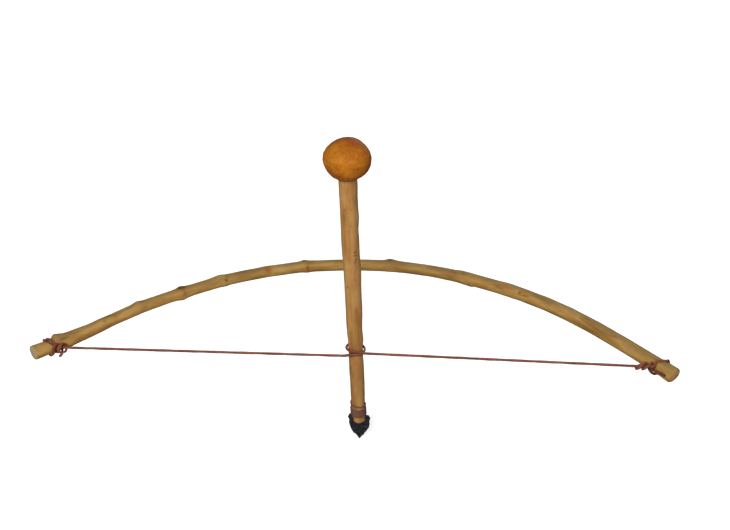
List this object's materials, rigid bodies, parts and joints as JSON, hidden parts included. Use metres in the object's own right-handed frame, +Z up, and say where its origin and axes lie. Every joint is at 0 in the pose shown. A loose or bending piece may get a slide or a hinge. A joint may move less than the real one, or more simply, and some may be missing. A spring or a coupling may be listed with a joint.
{
  "type": "bow drill",
  "caption": "Hand tool: a bent-branch bow whose string turns a wooden spindle with a lashed stone bit, steadied by a ball-shaped hand socket.",
  "frame": {"origin": "tip of the stone bit, on the spindle's axis", "axes": "+Z up the spindle's axis to the hand socket, +X along the bow string towards the grip end of the bow, +Y from the string to the stave"},
  "size_m": [0.6384, 0.1531, 0.3318],
  "materials": {
    "stave_wood": "satin",
    "spindle_wood": "satin",
    "socket_wood": "satin",
    "string_leather": "satin",
    "lashing_leather": "matte",
    "flint": "satin"
  },
  "bodies": {
    "bow": {"bow_stave": "stave_wood", "left_knot": "string_leather", "string_left": "string_leather", "string_right": "string_leather", "right_knot": "string_leather"},
    "string_turn": {"string_turn": "string_leather"},
    "drill": {"spindle": "spindle_wood", "lashing": "lashing_leather", "flint_bit": "flint"},
    "hand_socket": {"hand_socket": "socket_wood"}
  },
  "joints": [
    {"name": "bow_stroke", "type": "slide", "parent": "bow", "child": "string_turn", "axis": [1, 0, 0], "range_m": [-0.17, 0.17], "deforming": ["string_left", "string_right"]},
    {"name": "drill_spin", "type": "hinge", "parent": "string_turn", "child": "drill", "pos_m": [0, 0, 0], "axis": [0, 0, 1], "continuous": true},
    {"name": "socket_lift", "type": "slide", "parent": "string_turn", "child": "hand_socket", "axis": [0, 0, 1], "range_m": [0, 0.06]}
  ],
  "couplings": [
    {"joint": "drill_spin", "follows": "bow_stroke", "rad_per_m": -111.99}
  ]
}
